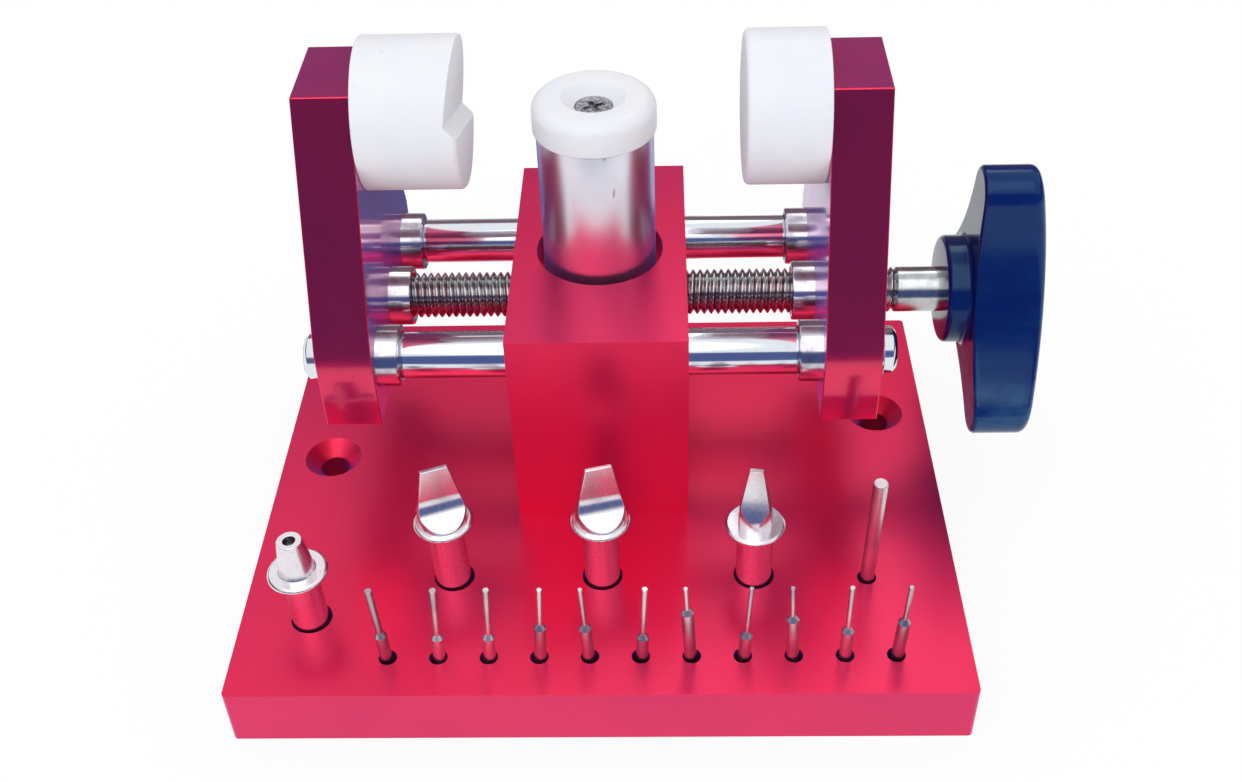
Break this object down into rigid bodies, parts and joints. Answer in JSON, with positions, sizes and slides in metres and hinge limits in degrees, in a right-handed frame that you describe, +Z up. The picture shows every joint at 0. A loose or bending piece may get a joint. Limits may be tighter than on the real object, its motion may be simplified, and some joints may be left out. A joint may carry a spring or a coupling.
{
  "type": "watch case opener",
  "caption": "Bench fixture that closes two nylon jaws on sliding arms over a capped post, turned by a lobed knob, with drivers and pins stored in its base.",
  "frame": {"origin": "middle of the base plate's underside", "axes": "+X along the screw towards the knob, +Y from the row of pins to the back of the plate, +Z up along the post"},
  "size_m": [0.1365, 0.095, 0.0898],
  "materials": {
    "red_anodised": "satin red anodised",
    "polished_steel": "polished",
    "threaded_steel": "polished",
    "turned_aluminium": "satin turned",
    "white_nylon": "smooth matt",
    "black_knob": "glossy",
    "brass_insert": "machined",
    "black_screw_steel": "black oxide",
    "zinc_screw": "zinc plated",
    "nickel_driver": "nickel plated",
    "pin_steel": "ground steel"
  },
  "bodies": {
    "base": {"base_plate": "red_anodised", "block_screws": "black_screw_steel", "centre_block": "red_anodised", "guide_rod_front": "polished_steel", "guide_rod_rear": "polished_steel", "rod_lock_screws": "black_screw_steel", "screw_retainer": "black_screw_steel"},
    "screw": {"lead_screw": "threaded_steel", "knob": "black_knob", "knob_insert": "brass_insert"},
    "left_arm": {"left_arm": "red_anodised", "left_front_bush": "polished_steel", "left_rear_bush": "polished_steel", "left_nut": "polished_steel", "left_jaw": "white_nylon", "left_jaw_screw": "black_screw_steel"},
    "right_arm": {"right_arm": "red_anodised", "right_front_bush": "polished_steel", "right_rear_bush": "polished_steel", "right_nut": "polished_steel", "right_jaw": "white_nylon", "right_jaw_screw": "black_screw_steel"},
    "post": {"support_post": "turned_aluminium", "post_cap": "white_nylon", "post_cap_screw": "zinc_screw"},
    "pin_holder": {"pin_holder": "nickel_driver"},
    "left_wide_blade": {"left_wide_blade": "nickel_driver"},
    "right_wide_blade": {"right_wide_blade": "nickel_driver"},
    "narrow_blade": {"narrow_blade": "nickel_driver"},
    "punch": {"punch": "pin_steel"},
    "pin_1": {"pin_1": "pin_steel"},
    "pin_2": {"pin_2": "pin_steel"},
    "pin_3": {"pin_3": "pin_steel"},
    "pin_4": {"pin_4": "pin_steel"},
    "pin_5": {"pin_5": "pin_steel"},
    "pin_6": {"pin_6": "pin_steel"},
    "pin_7": {"pin_7": "pin_steel"},
    "pin_8": {"pin_8": "pin_steel"},
    "pin_9": {"pin_9": "pin_steel"},
    "pin_10": {"pin_10": "pin_steel"},
    "pin_11": {"pin_11": "pin_steel"}
  },
  "joints": [
    {"name": "knob_turn", "type": "hinge", "parent": "base", "child": "screw", "pos_m": [0, 0.019, 0.0402], "axis": [-1, 0, 0], "range_deg": [-1442, 2882]},
    {"name": "left_arm_slide", "type": "slide", "parent": "base", "child": "left_arm", "axis": [1, 0, 0], "range_m": [-0.005, 0.01]},
    {"name": "right_arm_slide", "type": "slide", "parent": "base", "child": "right_arm", "axis": [-1, 0, 0], "range_m": [-0.00501, 0.01001]},
    {"name": "post_lift", "type": "slide", "parent": "base", "child": "post", "axis": [0, 0, 1], "range_m": [0, 0.012]},
    {"name": "pin_holder_lift", "type": "slide", "parent": "base", "child": "pin_holder", "axis": [0, 0, 1], "range_m": [0, 0.009]},
    {"name": "left_wide_blade_lift", "type": "slide", "parent": "base", "child": "left_wide_blade", "axis": [0, 0, 1], "range_m": [0, 0.009]},
    {"name": "right_wide_blade_lift", "type": "slide", "parent": "base", "child": "right_wide_blade", "axis": [0, 0, 1], "range_m": [0, 0.009]},
    {"name": "narrow_blade_lift", "type": "slide", "parent": "base", "child": "narrow_blade", "axis": [0, 0, 1], "range_m": [0, 0.009]},
    {"name": "punch_lift", "type": "slide", "parent": "base", "child": "punch", "axis": [0, 0, 1], "range_m": [0, 0.009]},
    {"name": "pin_1_lift", "type": "slide", "parent": "base", "child": "pin_1", "axis": [0, 0, 1], "range_m": [0, 0.009]},
    {"name": "pin_2_lift", "type": "slide", "parent": "base", "child": "pin_2", "axis": [0, 0, 1], "range_m": [0, 0.009]},
    {"name": "pin_3_lift", "type": "slide", "parent": "base", "child": "pin_3", "axis": [0, 0, 1], "range_m": [0, 0.009]},
    {"name": "pin_4_lift", "type": "slide", "parent": "base", "child": "pin_4", "axis": [0, 0, 1], "range_m": [0, 0.009]},
    {"name": "pin_5_lift", "type": "slide", "parent": "base", "child": "pin_5", "axis": [0, 0, 1], "range_m": [0, 0.009]},
    {"name": "pin_6_lift", "type": "slide", "parent": "base", "child": "pin_6", "axis": [0, 0, 1], "range_m": [0, 0.009]},
    {"name": "pin_7_lift", "type": "slide", "parent": "base", "child": "pin_7", "axis": [0, 0, 1], "range_m": [0, 0.009]},
    {"name": "pin_8_lift", "type": "slide", "parent": "base", "child": "pin_8", "axis": [0, 0, 1], "range_m": [0, 0.009]},
    {"name": "pin_9_lift", "type": "slide", "parent": "base", "child": "pin_9", "axis": [0, 0, 1], "range_m": [0, 0.009]},
    {"name": "pin_10_lift", "type": "slide", "parent": "base", "child": "pin_10", "axis": [0, 0, 1], "range_m": [0, 0.009]},
    {"name": "pin_11_lift", "type": "slide", "parent": "base", "child": "pin_11", "axis": [0, 0, 1], "range_m": [0, 0.009]}
  ],
  "couplings": [
    {"joint": "right_arm_slide", "follows": "left_arm_slide", "ratio": 1},
    {"joint": "knob_turn", "follows": "left_arm_slide", "rad_per_m": 5026.5}
  ]
}
